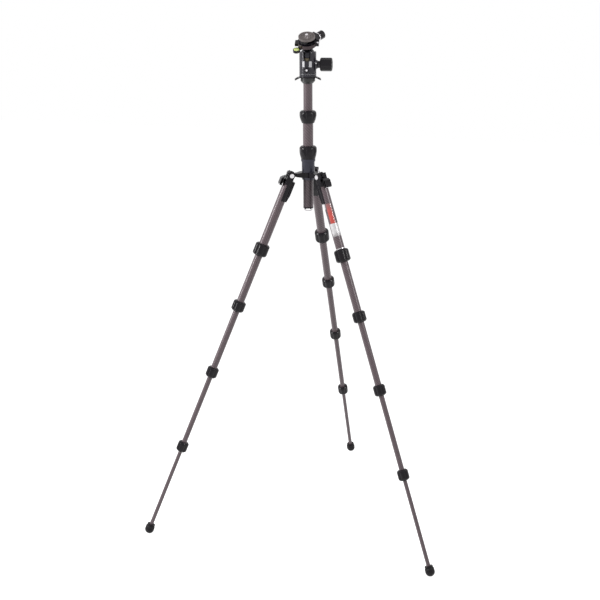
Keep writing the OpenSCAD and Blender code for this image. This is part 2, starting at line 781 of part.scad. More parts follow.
// The swinging D-shaped hook under the column: a bent wire whose ends turn in the cap's lugs
module weight_hook() {
    side_x = (hook_w - hook_wire) / 2;
    bend_share = 2;
    bend_r = bend_share * hook_wire;
    low_z = hook_wire - hook_depth;
    color("#6d6a70") on_column(-column_drop + hook_pivot_z) {
        for (s = [-1, 1]) {
            translate([s * (side_x + hook_pivot_x - hook_wire) / 2, 0, 0]) rotate([0, 90, 0])
                cylinder(d = hook_wire, h = side_x - hook_pivot_x + hook_wire, center = true);
            translate([s * side_x, 0, 0]) sphere(d = hook_wire);
            translate([s * side_x, 0, low_z + bend_r]) cylinder(d = hook_wire, h = -low_z - bend_r);
            translate([s * (side_x - bend_r), 0, low_z + bend_r]) rotate([90, 0, 0]) intersection() {
                rotate_extrude() translate([bend_r, 0]) circle(d = hook_wire);
                translate([s > 0 ? 0 : -hook_w, -hook_w, -hook_wire]) cube([hook_w, hook_w, 2 * hook_wire]);
            }
        }
        translate([0, 0, low_z]) rotate([0, 90, 0])
            cylinder(d = hook_wire, h = 2 * (side_x - bend_r), center = true);
    }
}

module head_neck() {
    color("#57585c") on_column(neck_z) {
        difference() {
            union() {
                cylinder(d1 = neck_low_d, d2 = neck_d, h = neck_flare_h);
                translate([0, 0, neck_flare_h]) cylinder(d = neck_d, h = neck_h - neck_flare_h);
            }
            translate([0, 0, -over]) cylinder(d = tube_2_d + 2 * glue_gap, h = neck_socket + over);
        }
        translate([0, 0, neck_h - strap_t]) cylinder(d = stud_d, h = strap_t + stud_len);
    }
}

// The plate under the head with a drooping slotted ear on each side for the carrying strap
module strap_plate() {
    end_frame_share = 1.5;
    end_frame = end_frame_share * ear_frame;
    root_r = strap_d / 2 - ear_frame - face_gap;
    ear_len = (strap_span / 2 - root_r - ear_t / 2 * sin(ear_droop)) / cos(ear_droop);
    slot_in = (strap_d / 2 + face_gap + ear_t / 2 - root_r) / cos(ear_droop);
    color("#1d1d20") on_column(strap_z) rotate([0, 0, strap_turn]) difference() {
        union() {
            cylinder(d = strap_d, h = strap_t);
            for (s = [0, 180]) rotate([0, 0, s])
                translate([root_r, 0, strap_t / 2]) rotate([0, ear_droop, 0]) difference() {
                    translate([-ear_frame, -ear_w / 2, -ear_t / 2]) cube([ear_len + ear_frame, ear_w, ear_t]);
                    translate([slot_in, end_frame - ear_w / 2, -over])
                        cube([ear_len - ear_frame - slot_in, ear_w - 2 * end_frame, 2 * over]);
                }
        }
        translate([0, 0, -over]) cylinder(d = stud_d + 2 * run_gap, h = strap_t + 2 * over);
        translate([0, 0, strap_t]) cylinder(d = 2 * strap_span, h = strap_d);
        translate([0, 0, -strap_d]) cylinder(d = neck_d + 2 * face_gap, h = strap_d);
    }
}

module head_base() {
    color("#33333b") on_column(base_z) difference() {
        union() {
            cylinder(d = housing_d, h = base_h);
            cylinder(d = axle_d, h = base_h + axle_h);
        }
        translate([0, 0, -over])
            cylinder(d = stud_d + 2 * glue_gap, h = stud_len - strap_t + over + face_gap);
        translate([0, 0, base_h / 2]) tube(housing_d + over, housing_d - 2 * base_groove, 0, base_groove);
    }
}

module head_housing() {
    mouth_share = 2;
    bore_d = ball_d + 2 * glue_gap;
    color("#34343d") on_head(housing_z) difference() {
        union() {
            rotate_extrude() {
                square([housing_d / 2, housing_h - rim_round]);
                square([housing_d / 2 - rim_round, housing_h]);
                translate([housing_d / 2 - rim_round, housing_h - rim_round]) circle(rim_round);
            }
            translate([0, 0, knob_z]) rotate([0, 90, 0]) {
                cylinder(d = boss_d, h = knob_in - face_gap);
                translate([0, 0, housing_d / 2 - rim_round])
                    cylinder(d1 = boss_flare_d, d2 = boss_d, h = (knob_in - housing_d / 2) / 2 + rim_round);
            }
        }
        translate([0, 0, -over]) cylinder(d = axle_d + 2 * run_gap, h = over + axle_h + face_gap);
        translate([0, 0, axle_h + 2 * face_gap + rim_round])
            cylinder(d = bore_d + 2 * face_gap, h = ball_up - axle_h - 2 * face_gap - rim_round);
        translate([0, 0, ball_up]) sphere(d = ball_d + 2 * run_gap);
        translate([0, 0, ball_up + rim_up / 2])
            cylinder(d1 = mouth_share * stem_d, d2 = ball_d - rim_round, h = rim_up / 2 + face_gap);
        translate([-notch_w / 2, -housing_d, ball_up - notch_drop + notch_w / 2])
            cube([notch_w, housing_d, notch_drop + rim_up + over]);
        translate([0, 0, ball_up - notch_drop + notch_w / 2]) rotate([90, 0, 0])
            cylinder(d = notch_w, h = housing_d);
        translate([0, 0, knob_z]) rotate([0, 90, 0]) cylinder(d = lock_screw_d + 2 * run_gap, h = housing_d);
        translate([0, 0, pan_z]) rotate([90, 0, 0]) cylinder(d = pan_screw_d + 2 * run_gap, h = housing_d);
    }
}
pan_z_share = 0.75;
pan_z = pan_z_share * axle_h;

module ball_seat() {
    low = axle_h + 3 * face_gap + rim_round;
    color("#c9b46a") on_head(housing_z) difference() {
        tube(ball_d + 2 * glue_gap, stem_d, low, low + seat_h);
        translate([0, 0, ball_up]) sphere(d = ball_d + 2 * run_gap);
    }
}

module ball() {
    neck_z0 = ball_d / 2 - rim_round;
    color("#b8b8bc") on_head(ball_z) rotate([head_tilt, 0, 0]) difference() {
        union() {
            sphere(d = ball_d);
            cylinder(d = stem_d, h = clamp_z - glue_gap);
            cylinder(d = clamp_screw_d, h = clamp_z + clamp_screw_up / 2);
            translate([0, 0, clamp_z - rim_round])
                cylinder(d1 = stem_d, d2 = stem_d + 2 * rim_round, h = rim_round - glue_gap);
        }
        translate([0, 0, -ball_d]) cylinder(d = lock_screw_d, h = ball_d - neck_z0 / 2);
    }
}

// A padded knob along z with a recess in its outer end
module knob(d, len, n) {
    recess_share = 0.6;
    difference() {
        grip(d, len, knob_round * d / knob_d, n, d);
        translate([0, 0, len - 2 * face_gap]) cylinder(d = recess_share * d, h = over);
    }
}

module ball_knob() {
    color("#222225") on_head(housing_z + knob_z) rotate([0, 90, 0]) {
        translate([0, 0, knob_in]) knob(knob_d, knob_len, knob_pads);
        translate([0, 0, ball_d / 2 + face_gap])
            cylinder(d = lock_screw_d, h = knob_in - ball_d / 2 - face_gap + over);
    }
}

module pan_knob() {
    color("#222225") on_head(housing_z + pan_z) rotate([90, 0, 0]) {
        translate([0, 0, housing_d / 2 + face_gap]) knob(pan_knob_d, pan_knob_len, knob_pads);
        translate([0, 0, axle_d / 2 + face_gap])
            cylinder(d = pan_screw_d, h = (housing_d - axle_d) / 2 + over);
    }
}

// Half the outline of the dovetail channel, from its floor to its mouth
module dovetail_2d(grow) {
    polygon([
        [-dovetail_half - dovetail_h - grow, 0], [dovetail_half + dovetail_h + grow, 0],
        [dovetail_half + grow, dovetail_h], [-dovetail_half - grow, dovetail_h]]);
}

module clamp_body() {
    arm_share = 0.8;
    color("#1e1e21") on_clamp() difference() {
        union() {
            translate([0, 0, clamp_z]) cylinder(d = clamp_hub_d, h = clamp_hub_h);
            translate([0, 0, clamp_base_z])
                cylinder(d1 = clamp_base_d - 2 * rim_round, d2 = clamp_base_d, h = rim_round);
            translate([0, 0, clamp_base_z + rim_round])
                cylinder(d = clamp_base_d, h = clamp_base_h - rim_round);
            translate([0, 0, clamp_base_top_z]) cylinder(d = clamp_d, h = jaw_top_z - clamp_base_top_z);
            rotate([0, 0, -clamp_turn]) translate([-wing_half, -wing_low, wing_top_z - wing_t])
                cube([2 * wing_half, wing_low + wing_high, wing_t]);
            rotate([0, 0, level_turn - clamp_turn]) {
                translate([level_out, 0, level_z]) cylinder(d = level_d + 2 * level_wall, h = level_h);
                translate([0, -arm_share * level_d / 2, level_z + level_h / 2 - face_gap])
                    cube([level_out, arm_share * level_d, level_h / 2]);
            }
        }
        translate([0, 0, channel_z]) side(2 * clamp_d) dovetail_2d(face_gap);
        translate([dovetail_half, -clamp_d, channel_z]) cube([clamp_d, 2 * clamp_d, dovetail_h + over]);
        translate([jaw_in - face_gap, -jaw_len / 2 - face_gap, clamp_z - over])
            cube([clamp_d, jaw_len + 2 * face_gap, clamp_h + 2 * over]);
        translate([-clamp_d / 4, 0, clamp_screw_z]) rotate([0, 90, 0])
            cylinder(d = clamp_screw_d + 2 * run_gap, h = clamp_d);
        translate([0, 0, clamp_z - over])
            cylinder(d = clamp_screw_d + 2 * glue_gap, h = over + clamp_screw_up / 2 + face_gap);
        rotate([0, 0, level_turn - clamp_turn]) translate([level_out, 0, level_z + level_floor])
            cylinder(d = level_d + 2 * glue_gap, h = level_h);
    }
    color("#e0e0e0") on_clamp(0)
        translate([wing_screw_x, -wing_screw_y, wing_top_z + glue_gap]) socket_screw(wing_screw_d);
}

// The head of a small screw with a hexagon socket
module socket_screw(d) {
    head_share = 0.34;
    head_h = head_share * d;
    difference() {
        cylinder(d = d, h = head_h);
        translate([0, 0, head_h / 2]) cylinder(d = d / 2, h = d, $fn = 6);
    }
}

module spirit_level() {
    dome_share = 0.17;
    low = level_z + level_floor + glue_gap;
    glass_h = level_h - level_floor;
    color("#cfe36a") on_clamp(level_turn) translate([level_out, 0, low]) {
        cylinder(d = level_d, h = glass_h);
        translate([0, 0, glass_h]) intersection() {
            translate([0, 0, -level_d]) sphere(r = level_d + dome_share * level_h);
            cylinder(d = level_d - face_gap, h = level_h);
        }
    }
}

module clamp_jaw() {
    knee_share = 0.2;
    knee = knee_share * (jaw_out - jaw_in);
    color("#1e1e21") on_clamp() difference() {
        side(jaw_len) polygon([
            [jaw_in, clamp_base_z], [jaw_out - knee, clamp_base_z], [jaw_out, clamp_base_z + knee],
            [jaw_out, channel_z], [jaw_out - knee, jaw_top_z], [dovetail_half + face_gap, jaw_top_z],
            [dovetail_half + dovetail_h + face_gap, channel_z + glue_gap], [jaw_in, channel_z + glue_gap]]);
        translate([0, 0, clamp_screw_z]) rotate([0, 90, 0])
            cylinder(d = clamp_screw_d + 2 * run_gap, h = 2 * jaw_out);
    }
}

module clamp_knob() {
    color("#d8d8d8") on_clamp() translate([jaw_out + face_gap, 0, clamp_screw_z]) rotate([0, 90, 0])
        tube(clamp_knob_d - 2 * run_gap, clamp_screw_d + 2 * glue_gap, 0, washer_t);
    color("#222225") on_clamp() translate([0, 0, clamp_screw_z]) rotate([0, 90, 0]) {
        translate([0, 0, jaw_out + 2 * face_gap + washer_t]) knob(clamp_knob_d, clamp_knob_len, knob_pads);
        cylinder(d = clamp_screw_d, h = jaw_out + washer_t + over);
    }
}

// The round quick-release plate with its dovetail foot and the screw's pocket
module release_plate() {
    pocket_r = camera_head_d / 2 + face_gap;
    rim_share = 0.25;
    groove_share = 0.33;
    ring_shares = [0.56, 0.83];
    rim = rim_share * plate_t;
    color("#837b80") on_clamp() difference() {
        union() {
            translate([0, 0, plate_foot_z]) side(plate_foot_len) dovetail_2d(0);
            translate([0, 0, plate_foot_z + dovetail_h - over]) side(plate_foot_len)
                translate([-dovetail_half, 0]) square([2 * dovetail_half, over + face_gap]);
            translate([0, 0, plate_z]) cylinder(d1 = plate_d - 2 * rim, d2 = plate_d, h = rim);
            translate([0, 0, plate_z + rim]) cylinder(d = plate_d, h = plate_t - rim);
        }
        translate([0, 0, plate_foot_z - over])
            cylinder(r = pocket_r, h = over + camera_head_t + dovetail_h + face_gap);
        cylinder(d = camera_screw_d + 2 * run_gap, h = 2 * clamp_d);
        for (ring_share = ring_shares)
            translate([0, 0, plate_top_z - groove_share * rim])
                tube(ring_share * plate_d + rim, ring_share * plate_d, 0, rim);
    }
}

// The captive camera screw: a slotted head, a thinner neck through the plate and a thread above it
module camera_screw() {
    neck_share = 0.8;
    slot_w_share = 0.5;
    driver_w = slot_w_share * camera_head_t;
    head_z = plate_foot_z + dovetail_h;
    color("#e4e4e4") on_clamp() difference() {
        union() {
            translate([0, 0, head_z]) cylinder(d = camera_head_d, h = camera_head_t);
            translate([0, 0, head_z])
                cylinder(d = neck_share * camera_screw_d, h = plate_top_z - head_z + over);
            translate([0, 0, plate_top_z]) cylinder(d = camera_screw_d, h = camera_screw_up);
        }
        translate([-camera_head_d, -driver_w / 2, head_z - over])
            cube([2 * camera_head_d, driver_w, over + camera_head_t / 2]);
    }
}

spider();
hinge_pins();
canopy_collar();
canopy_bush();
canopy_lock();
column_tube_lower();
hook_cap();
weight_hook();
column_lock();
column_tube_upper();
head_neck();
strap_plate();
head_base();
head_housing();
ball_seat();
ball();
ball_knob();
pan_knob();
clamp_body();
spirit_level();
clamp_jaw();
clamp_knob();
release_plate();
camera_screw();
leg_yoke(back);  // leg_back_yoke
leg_stop_tab(back);  // leg_back_stop_tab
leg_section(back, 0);  // leg_back_section_1
leg_lock(back, 0);  // leg_back_lock_1
leg_section(back, 1);  // leg_back_section_2
leg_lock(back, 1);  // leg_back_lock_2
leg_section(back, 2);  // leg_back_section_3
leg_lock(back, 2);  // leg_back_lock_3
leg_section(back, 3);  // leg_back_section_4
leg_lock(back, 3);  // leg_back_lock_4
leg_section(back, 4);  // leg_back_section_5
leg_foot(back);  // leg_back_foot
leg_yoke(left);  // leg_left_yoke
leg_stop_tab(left);  // leg_left_stop_tab
leg_section(left, 0);  // leg_left_section_1
leg_lock(left, 0);  // leg_left_lock_1
leg_section(left, 1);  // leg_left_section_2
leg_lock(left, 1);  // leg_left_lock_2
leg_section(left, 2);  // leg_left_section_3
leg_lock(left, 2);  // leg_left_lock_3
leg_section(left, 3);  // leg_left_section_4
leg_lock(left, 3);  // leg_left_lock_4
leg_section(left, 4);  // leg_left_section_5
leg_foot(left);  // leg_left_foot
leg_yoke(right);  // leg_right_yoke
leg_stop_tab(right);  // leg_right_stop_tab
leg_section(right, 0);  // leg_right_section_1
leg_lock(right, 0);  // leg_right_lock_1
leg_section(right, 1);  // leg_right_section_2
leg_lock(right, 1);  // leg_right_lock_2
leg_section(right, 2);  // leg_right_section_3
leg_lock(right, 2);  // leg_right_lock_3
leg_section(right, 3);  // leg_right_section_4
leg_lock(right, 3);  // leg_right_lock_4
leg_section(right, 4);  // leg_right_section_5
leg_foot(right);  // leg_right_foot
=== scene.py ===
# %% [markdown]
# # A travel tripod in a white studio
# The tripod's solid pieces are already modelled and arrive as a fixed frame. This script never moves
# or reshapes them. It adds a camera, plain studio light, finishes, and a few small pieces that only
# matter to the eye, such as the label on one leg and the bubble in the spirit level.

# %% Load the frame
import math

import bmesh
import bpy
from mathutils import Matrix, Vector


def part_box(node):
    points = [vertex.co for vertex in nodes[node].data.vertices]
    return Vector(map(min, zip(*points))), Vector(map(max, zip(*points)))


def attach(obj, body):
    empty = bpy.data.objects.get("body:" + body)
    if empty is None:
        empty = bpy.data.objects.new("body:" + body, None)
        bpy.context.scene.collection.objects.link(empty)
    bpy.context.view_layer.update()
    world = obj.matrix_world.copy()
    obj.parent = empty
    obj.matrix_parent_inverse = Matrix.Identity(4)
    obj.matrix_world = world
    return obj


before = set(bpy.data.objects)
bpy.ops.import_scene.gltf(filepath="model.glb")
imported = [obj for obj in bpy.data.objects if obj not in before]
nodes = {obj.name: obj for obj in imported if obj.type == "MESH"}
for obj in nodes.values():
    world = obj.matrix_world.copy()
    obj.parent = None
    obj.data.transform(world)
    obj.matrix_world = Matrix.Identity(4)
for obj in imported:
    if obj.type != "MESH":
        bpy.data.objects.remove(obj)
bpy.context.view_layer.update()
MM = 0.001

# %% [markdown]
# The photograph was taken from well back with a long lens, a little above the head. The camera's
# place and direction were worked out from the legs, which are straight lines in space, so every
# piece lands where the photograph has it. The values are in metres in the tripod's own frame.

# %% Camera
HINGE_HEIGHT = 0.926192
COLUMN_Y = -0.106924
CAMERA_PLACE = Vector((0.8207, COLUMN_Y - 2.6760, HINGE_HEIGHT + 0.5502))
CAMERA_LOOK = Vector((-0.2871, 0.9105, -0.2975))
CAMERA_ROLL = math.radians(-0.35)
LENS_MM = 69.54
SENSOR_MM = 36.0
FAR_CLIP = 20.0

camera_data = bpy.data.cameras.new("camera")
camera = bpy.data.objects.new("camera", camera_data)
bpy.context.scene.collection.objects.link(camera)
camera.location = CAMERA_PLACE
camera.rotation_mode = "QUATERNION"
level_look = CAMERA_LOOK.to_track_quat("-Z", "Y")
camera.rotation_quaternion = level_look @ Matrix.Rotation(CAMERA_ROLL, 3, "Z").to_quaternion()
camera_data.lens = LENS_MM
camera_data.sensor_width = SENSOR_MM
camera_data.clip_end = FAR_CLIP
bpy.context.scene.camera = camera
bpy.context.scene.view_settings.view_transform = "Standard"
print("camera", [round(v, 3) for v in CAMERA_PLACE])

# %% [markdown]
# Every finish in this scene is a small tree of nodes. These helpers add one node, one sum, one mix
# of two colours, one noise or one bump at a time, so that a finish reads as a list of short steps.

# %% Helpers for shader trees
def node_of(tree, kind, **settings):
    node = tree.nodes.new(kind)
    for name, value in settings.items():
        setattr(node, name, value)
    return node


def set_inputs(node, values):
    for name, value in values.items():
        node.inputs[name].default_value = value


def empty_material(name):
    material = bpy.data.materials.new(name)
    material.use_nodes = True
    material.node_tree.nodes.clear()
    return material, material.node_tree, node_of(material.node_tree, "ShaderNodeOutputMaterial")


def material_tree(name):
    material, tree, out = empty_material(name)
    shader = node_of(tree, "ShaderNodeBsdfPrincipled")
    tree.links.new(shader.outputs[0], out.inputs["Surface"])
    return material, tree, shader


def math_node(tree, operation, *values):
    node = node_of(tree, "ShaderNodeMath", operation=operation)
    for socket, value in zip(node.inputs, values):
        if isinstance(value, (int, float)):
            socket.default_value = value
        else:
            tree.links.new(value, socket)
    return node.outputs[0]


def noise(tree, point, scale, detail):
    node = node_of(tree, "ShaderNodeTexNoise")
    set_inputs(node, {"Scale": scale, "Detail": detail})
    tree.links.new(point, node.inputs["Vector"])
    return node.outputs["Fac"]


def colour_mix(tree, factor, dark, light):
    node = node_of(tree, "ShaderNodeMix", data_type="RGBA")
    tree.links.new(factor, node.inputs["Factor"])
    for key, value in (("A", dark), ("B", light)):
        socket = [s for s in node.inputs if s.name == key and s.type == "RGBA"][0]
        if isinstance(value, tuple):
            socket.default_value = (*value, 1)
        else:
            tree.links.new(value, socket)
    return [s for s in node.outputs if s.type == "RGBA"][0]


def bump(tree, shader, height, strength, distance):
    node = node_of(tree, "ShaderNodeBump")
    set_inputs(node, {"Strength": strength, "Distance": distance})
    tree.links.new(height, node.inputs["Height"])
    tree.links.new(node.outputs[0], shader.inputs["Normal"])


# %% [markdown]
# A product picture has no horizon: the floor and the backdrop are both plain white. The floor is a
# pale grey that is lifted to white for the camera and for reflections, so that a contact shadow is
# still seen under the feet. The world is white to the same rays, and to all others it is a gentle
# grey light, so that colours on the tripod render as they are written.

# %% Floor
FLOOR_SIZE = 12.0
FLOOR_GREY = 0.70
FLOOR_LIFT = 0.9


def seen_rays(tree):
    rays = node_of(tree, "ShaderNodeLightPath")
    seen = rays.outputs["Is Camera Ray"]
    for kind in ("Is Glossy Ray", "Is Transmission Ray"):
        seen = math_node(tree, "MAXIMUM", seen, rays.outputs[kind])
    return seen


def white_floor():
    material, tree, out = empty_material("floor_white")
    plain = node_of(tree, "ShaderNodeBsdfDiffuse")
    plain.inputs["Color"].default_value = (FLOOR_GREY, FLOOR_GREY, FLOOR_GREY, 1)
    glow = node_of(tree, "ShaderNodeEmission")
    lift = math_node(tree, "MULTIPLY", seen_rays(tree), FLOOR_LIFT)
    tree.links.new(lift, glow.inputs["Strength"])
    both = node_of(tree, "ShaderNodeAddShader")
    tree.links.new(plain.outputs[0], both.inputs[0])
    tree.links.new(glow.outputs[0], both.inputs[1])
    tree.links.new(both.outputs[0], out.inputs["Surface"])
    return material


half = FLOOR_SIZE / 2
corners = [(-half, -half, 0), (half, -half, 0), (half, half, 0), (-half, half, 0)]
floor_mesh = bpy.data.meshes.new("floor")
floor_mesh.from_pydata(corners, [], [(0, 1, 2, 3)])
floor_mesh.materials.append(white_floor())
floor = bpy.data.objects.new("floor", floor_mesh)
bpy.context.scene.collection.objects.link(floor)
print("white floor of", FLOOR_SIZE, "metres")

# %% World
ROOM_LIGHT = 0.16

world = bpy.data.worlds.new("studio")
bpy.context.scene.world = world
world.use_nodes = True
sky = world.node_tree
sky.nodes.clear()
sky_out = node_of(sky, "ShaderNodeOutputWorld")
sky_mix = node_of(sky, "ShaderNodeMixShader")
sky.links.new(seen_rays(sky), sky_mix.inputs[0])
for slot, strength in ((1, ROOM_LIGHT), (2, 1.0)):
    light = node_of(sky, "ShaderNodeBackground")
    set_inputs(light, {"Color": (1, 1, 1, 1), "Strength": strength})
    sky.links.new(light.outputs[0], sky_mix.inputs[slot])
sky.links.new(sky_mix.outputs[0], sky_out.inputs["Surface"])
print("world white where it is seen, grey light of", ROOM_LIGHT, "elsewhere")

# %% [markdown]
# Two tall, narrow softboxes stand left and right of the camera. They draw the thin bright lines
# along the tubes that show how round and how glossy these are.

# %% Lamps: name, place, width and height in metres, power in watts
LAMP_AIM = Vector((0, -0.1, 0.7))
LAMPS = (("softbox_left", (-1.9, -1.3, 1.9), 0.35, 2.0, 64),
         ("softbox_right", (2.1, -0.7, 2.2), 0.25, 1.6, 34))

for name, place, width, height, power in LAMPS:
    lamp_data = bpy.data.lights.new(name, "AREA")
    lamp_data.shape = "RECTANGLE"
    lamp_data.size = width
    lamp_data.size_y = height
    lamp_data.energy = power
    lamp = bpy.data.objects.new(name, lamp_data)
    bpy.context.scene.collection.objects.link(lamp)
    lamp.location = place
    lamp.rotation_mode = "QUATERNION"
    lamp.rotation_quaternion = (LAMP_AIM - Vector(place)).to_track_quat("-Z", "Y")
print("softboxes:", ", ".join(lamp[0] for lamp in LAMPS))

# %% [markdown]
# The tubes are wound from carbon cloth under a clear lacquer. Close up it is a twill: bundles of
# fibre pass over two and under two of their neighbours. The pattern has to run round each tube and
# along it, so a Mapping node of type Texture first turns the object's coordinates into the tube's
# own, and arctan2 gives the way round. Each leg and the column get their own turn.

# %% Frames of the legs and the column
LEG_ANGLE = math.radians(22.8)
HINGE_R = 0.0433
LEG_TURNS = {"back": 90, "left": 210, "right": 330}


def leg_frame(side):
    turn = math.radians(LEG_TURNS[side])
    place = Vector((HINGE_R * math.cos(turn), COLUMN_Y + HINGE_R * math.sin(turn), HINGE_HEIGHT))
    lean = Matrix.Rotation(turn, 4, "Z") @ Matrix.Rotation(-LEG_ANGLE, 4, "Y")
    return Matrix.Translation(place) @ (lean @ Matrix.Rotation(math.pi, 4, "X"))


FRAMES = {side: leg_frame(side) for side in LEG_TURNS}
FRAMES["column"] = Matrix.Translation((0, COLUMN_Y, HINGE_HEIGHT))
print("frames:", ", ".join(FRAMES))

# %% Carbon tubes
TOWS_ROUND = 40
TOW_LENGTH = 0.0018
TWILL_REPEAT = 4
TWILL_OVER = 2
MIDDLE = 0.5
WEAVE_SHARE, GRAIN_SHARE = 0.55, 0.45
FIBRE_SCALE, FIBRE_DETAIL = 60, 6
CARBON_DARK, CARBON_LIGHT = (0.076, 0.054, 0.062), (0.164, 0.124, 0.136)
CARBON_BUMP, CARBON_DEPTH = 0.15, 0.0003
LACQUER = {"Metallic": 0.1, "Roughness": 0.38, "Specular IOR Level": 0.2,
           "Coat Weight": 0.5, "Coat Roughness": 0.22}


def own_coordinates(tree, matrix):
    coords = node_of(tree, "ShaderNodeTexCoord")
    mapping = node_of(tree, "ShaderNodeMapping", vector_type="TEXTURE")
    set_inputs(mapping, {"Location": matrix.to_translation(), "Rotation": matrix.to_euler()})
    tree.links.new(coords.outputs["Object"], mapping.inputs["Vector"])
    split = node_of(tree, "ShaderNodeSeparateXYZ")
    tree.links.new(mapping.outputs[0], split.inputs[0])
    return mapping.outputs[0], split.outputs


def carbon(name, matrix):
    material, tree, shader = material_tree(name)
    point, (x, y, z) = own_coordinates(tree, matrix)
    round_way = math_node(tree, "MULTIPLY", math_node(tree, "ARCTAN2", y, x), TOWS_ROUND / math.tau)
    along = math_node(tree, "DIVIDE", z, TOW_LENGTH)
    cell = math_node(tree, "ADD", math_node(tree, "FLOOR", round_way), math_node(tree, "FLOOR", along))
    over = math_node(tree, "LESS_THAN", math_node(tree, "FLOORED_MODULO", cell, TWILL_REPEAT), TWILL_OVER)
    under = math_node(tree, "SUBTRACT", 1, over)
    round_crown = math_node(tree, "MULTIPLY", over, math_node(tree, "PINGPONG", round_way, MIDDLE))
    along_crown = math_node(tree, "MULTIPLY", under, math_node(tree, "PINGPONG", along, MIDDLE))
    height = math_node(tree, "ADD", round_crown, along_crown)
    fibre = noise(tree, point, FIBRE_SCALE, FIBRE_DETAIL)
    shade = math_node(tree, "ADD", math_node(tree, "MULTIPLY", over, WEAVE_SHARE),
                      math_node(tree, "MULTIPLY", fibre, GRAIN_SHARE))
    tree.links.new(colour_mix(tree, shade, CARBON_DARK, CARBON_LIGHT), shader.inputs["Base Color"])
    set_inputs(shader, LACQUER)
    bump(tree, shader, height, CARBON_BUMP, CARBON_DEPTH)
    return material


CARBON = {key: carbon("carbon_" + key, matrix) for key, matrix in FRAMES.items()}
print("carbon finishes:", ", ".join(CARBON))

# %% [markdown]
# The twist locks, knobs and yokes are black, but never one flat black: moulded rubber has a fine
# matt grain and cast metal a smoother paint that shows small clouds of wear. One function makes
# the whole family, with the grain's size, depth and gloss as its arguments.

# %% Painted and moulded finishes
CLOUD_SCALE, CLOUD_DETAIL = 45, 5
GRAIN_DETAIL = 3
GRAIN_BUMP = 0.5
ROUGHNESS_SPREAD = 0.16
COAT_ROUGHNESS = 0.2


def grained(name, dark, light, roughness, grain_size, depth, metallic=0.0, coat=0.0, specular=0.5):
    material, tree, shader = material_tree(name)
    point = node_of(tree, "ShaderNodeTexCoord").outputs["Object"]
    cloud = noise(tree, point, CLOUD_SCALE, CLOUD_DETAIL)
    grain = noise(tree, point, 1 / grain_size, GRAIN_DETAIL)
    tree.links.new(colour_mix(tree, cloud, dark, light), shader.inputs["Base Color"])
    smoothest = roughness - ROUGHNESS_SPREAD / 2
    rough = math_node(tree, "MULTIPLY_ADD", grain, ROUGHNESS_SPREAD, smoothest)
    tree.links.new(rough, shader.inputs["Roughness"])
    set_inputs(shader, {"Metallic": metallic, "Coat Weight": coat, "Coat Roughness": COAT_ROUGHNESS,
                        "Specular IOR Level": specular})
    bump(tree, shader, grain, GRAIN_BUMP, depth)
    return material


LOCK_RUBBER = grained("lock_rubber", (0.003, 0.002, 0.004), (0.009, 0.007, 0.010),
                      roughness=0.24, grain_size=0.0009, depth=0.0002, specular=0.22)
BLACK_PAINT = grained("black_paint", (0.003, 0.002, 0.004), (0.009, 0.007, 0.011),
                      roughness=0.22, grain_size=0.0012, depth=0.0001, specular=0.22)
BLUE_GREY = grained("blue_grey_metal", (0.024, 0.024, 0.036), (0.046, 0.046, 0.064),
                    roughness=0.30, grain_size=0.0010, depth=0.0001, metallic=0.5)
NECK_METAL = grained("neck_metal", (0.030, 0.030, 0.031), (0.055, 0.056, 0.056),
                     roughness=0.33, grain_size=0.0010, depth=0.0001, metallic=0.6)
HOUSING_PAINT = grained("housing_paint", (0.012, 0.011, 0.017), (0.026, 0.024, 0.033),
                        roughness=0.24, grain_size=0.0008, depth=0.0001, specular=0.4)
FOOT_RUBBER = grained("foot_rubber", (0.007, 0.006, 0.0075), (0.015, 0.013, 0.015),
                      roughness=0.5, grain_size=0.0012, depth=0.0003, specular=0.18)
BRIGHT_STEEL = grained("bright_steel", (0.70, 0.68, 0.70), (0.86, 0.84, 0.86),
                       roughness=0.28, grain_size=0.0015, depth=0.00005, metallic=0.85)
BALL_METAL = grained("ball_metal", (0.020, 0.020, 0.024), (0.040, 0.040, 0.046),
                     roughness=0.25, grain_size=0.0012, depth=0.00005, metallic=0.8)
SEAT_PLASTIC = grained("seat_plastic", (0.10, 0.085, 0.05), (0.16, 0.13, 0.08),
                       roughness=0.5, grain_size=0.002, depth=0.0001)
PLATE_METAL = grained("plate_metal", (0.085, 0.070, 0.068), (0.190, 0.165, 0.160),
                      roughness=0.36, grain_size=0.0016, depth=0.0003, metallic=0.35)
WARM_METAL = grained("warm_metal", (0.030, 0.020, 0.022), (0.065, 0.046, 0.048),
                     roughness=0.28, grain_size=0.0012, depth=0.0001, metallic=0.6)
LEVEL_GLASS = grained("level_glass", (0.50, 0.62, 0.10), (0.66, 0.78, 0.22),
                      roughness=0.10, grain_size=0.004, depth=0.00005, coat=0.6)
MARK_WHITE = grained("mark_white", (0.62, 0.62, 0.64), (0.82, 0.82, 0.84),
                     roughness=0.35, grain_size=0.0015, depth=0.00005)
print("thirteen grained finishes")

# %% Give every solid piece its finish
FINISH = {
    "spider": BLUE_GREY, "canopy_collar": BLUE_GREY, "head_neck": NECK_METAL, "hinge_pins": BRIGHT_STEEL,
    "column_tube_lower": CARBON["column"], "column_tube_upper": CARBON["column"],
    "weight_hook": BRIGHT_STEEL, "head_base": HOUSING_PAINT, "head_housing": HOUSING_PAINT,
    "ball_seat": SEAT_PLASTIC, "ball": BALL_METAL, "spirit_level": LEVEL_GLASS,
    "release_plate": PLATE_METAL, "camera_screw": BRIGHT_STEEL,
    "ball_knob": LOCK_RUBBER, "pan_knob": LOCK_RUBBER, "clamp_knob": LOCK_RUBBER,
}
for name, piece in nodes.items():
    finish = FINISH.get(name, BLACK_PAINT)
    if "section" in name:
        finish = CARBON[name.split("_")[1]]
    elif "lock" in name:
        finish = LOCK_RUBBER
    elif "foot" in name:
        finish = FOOT_RUBBER
    piece.data.materials.clear()
    piece.data.materials.append(finish)
print("finishes given to", len(nodes), "pieces")

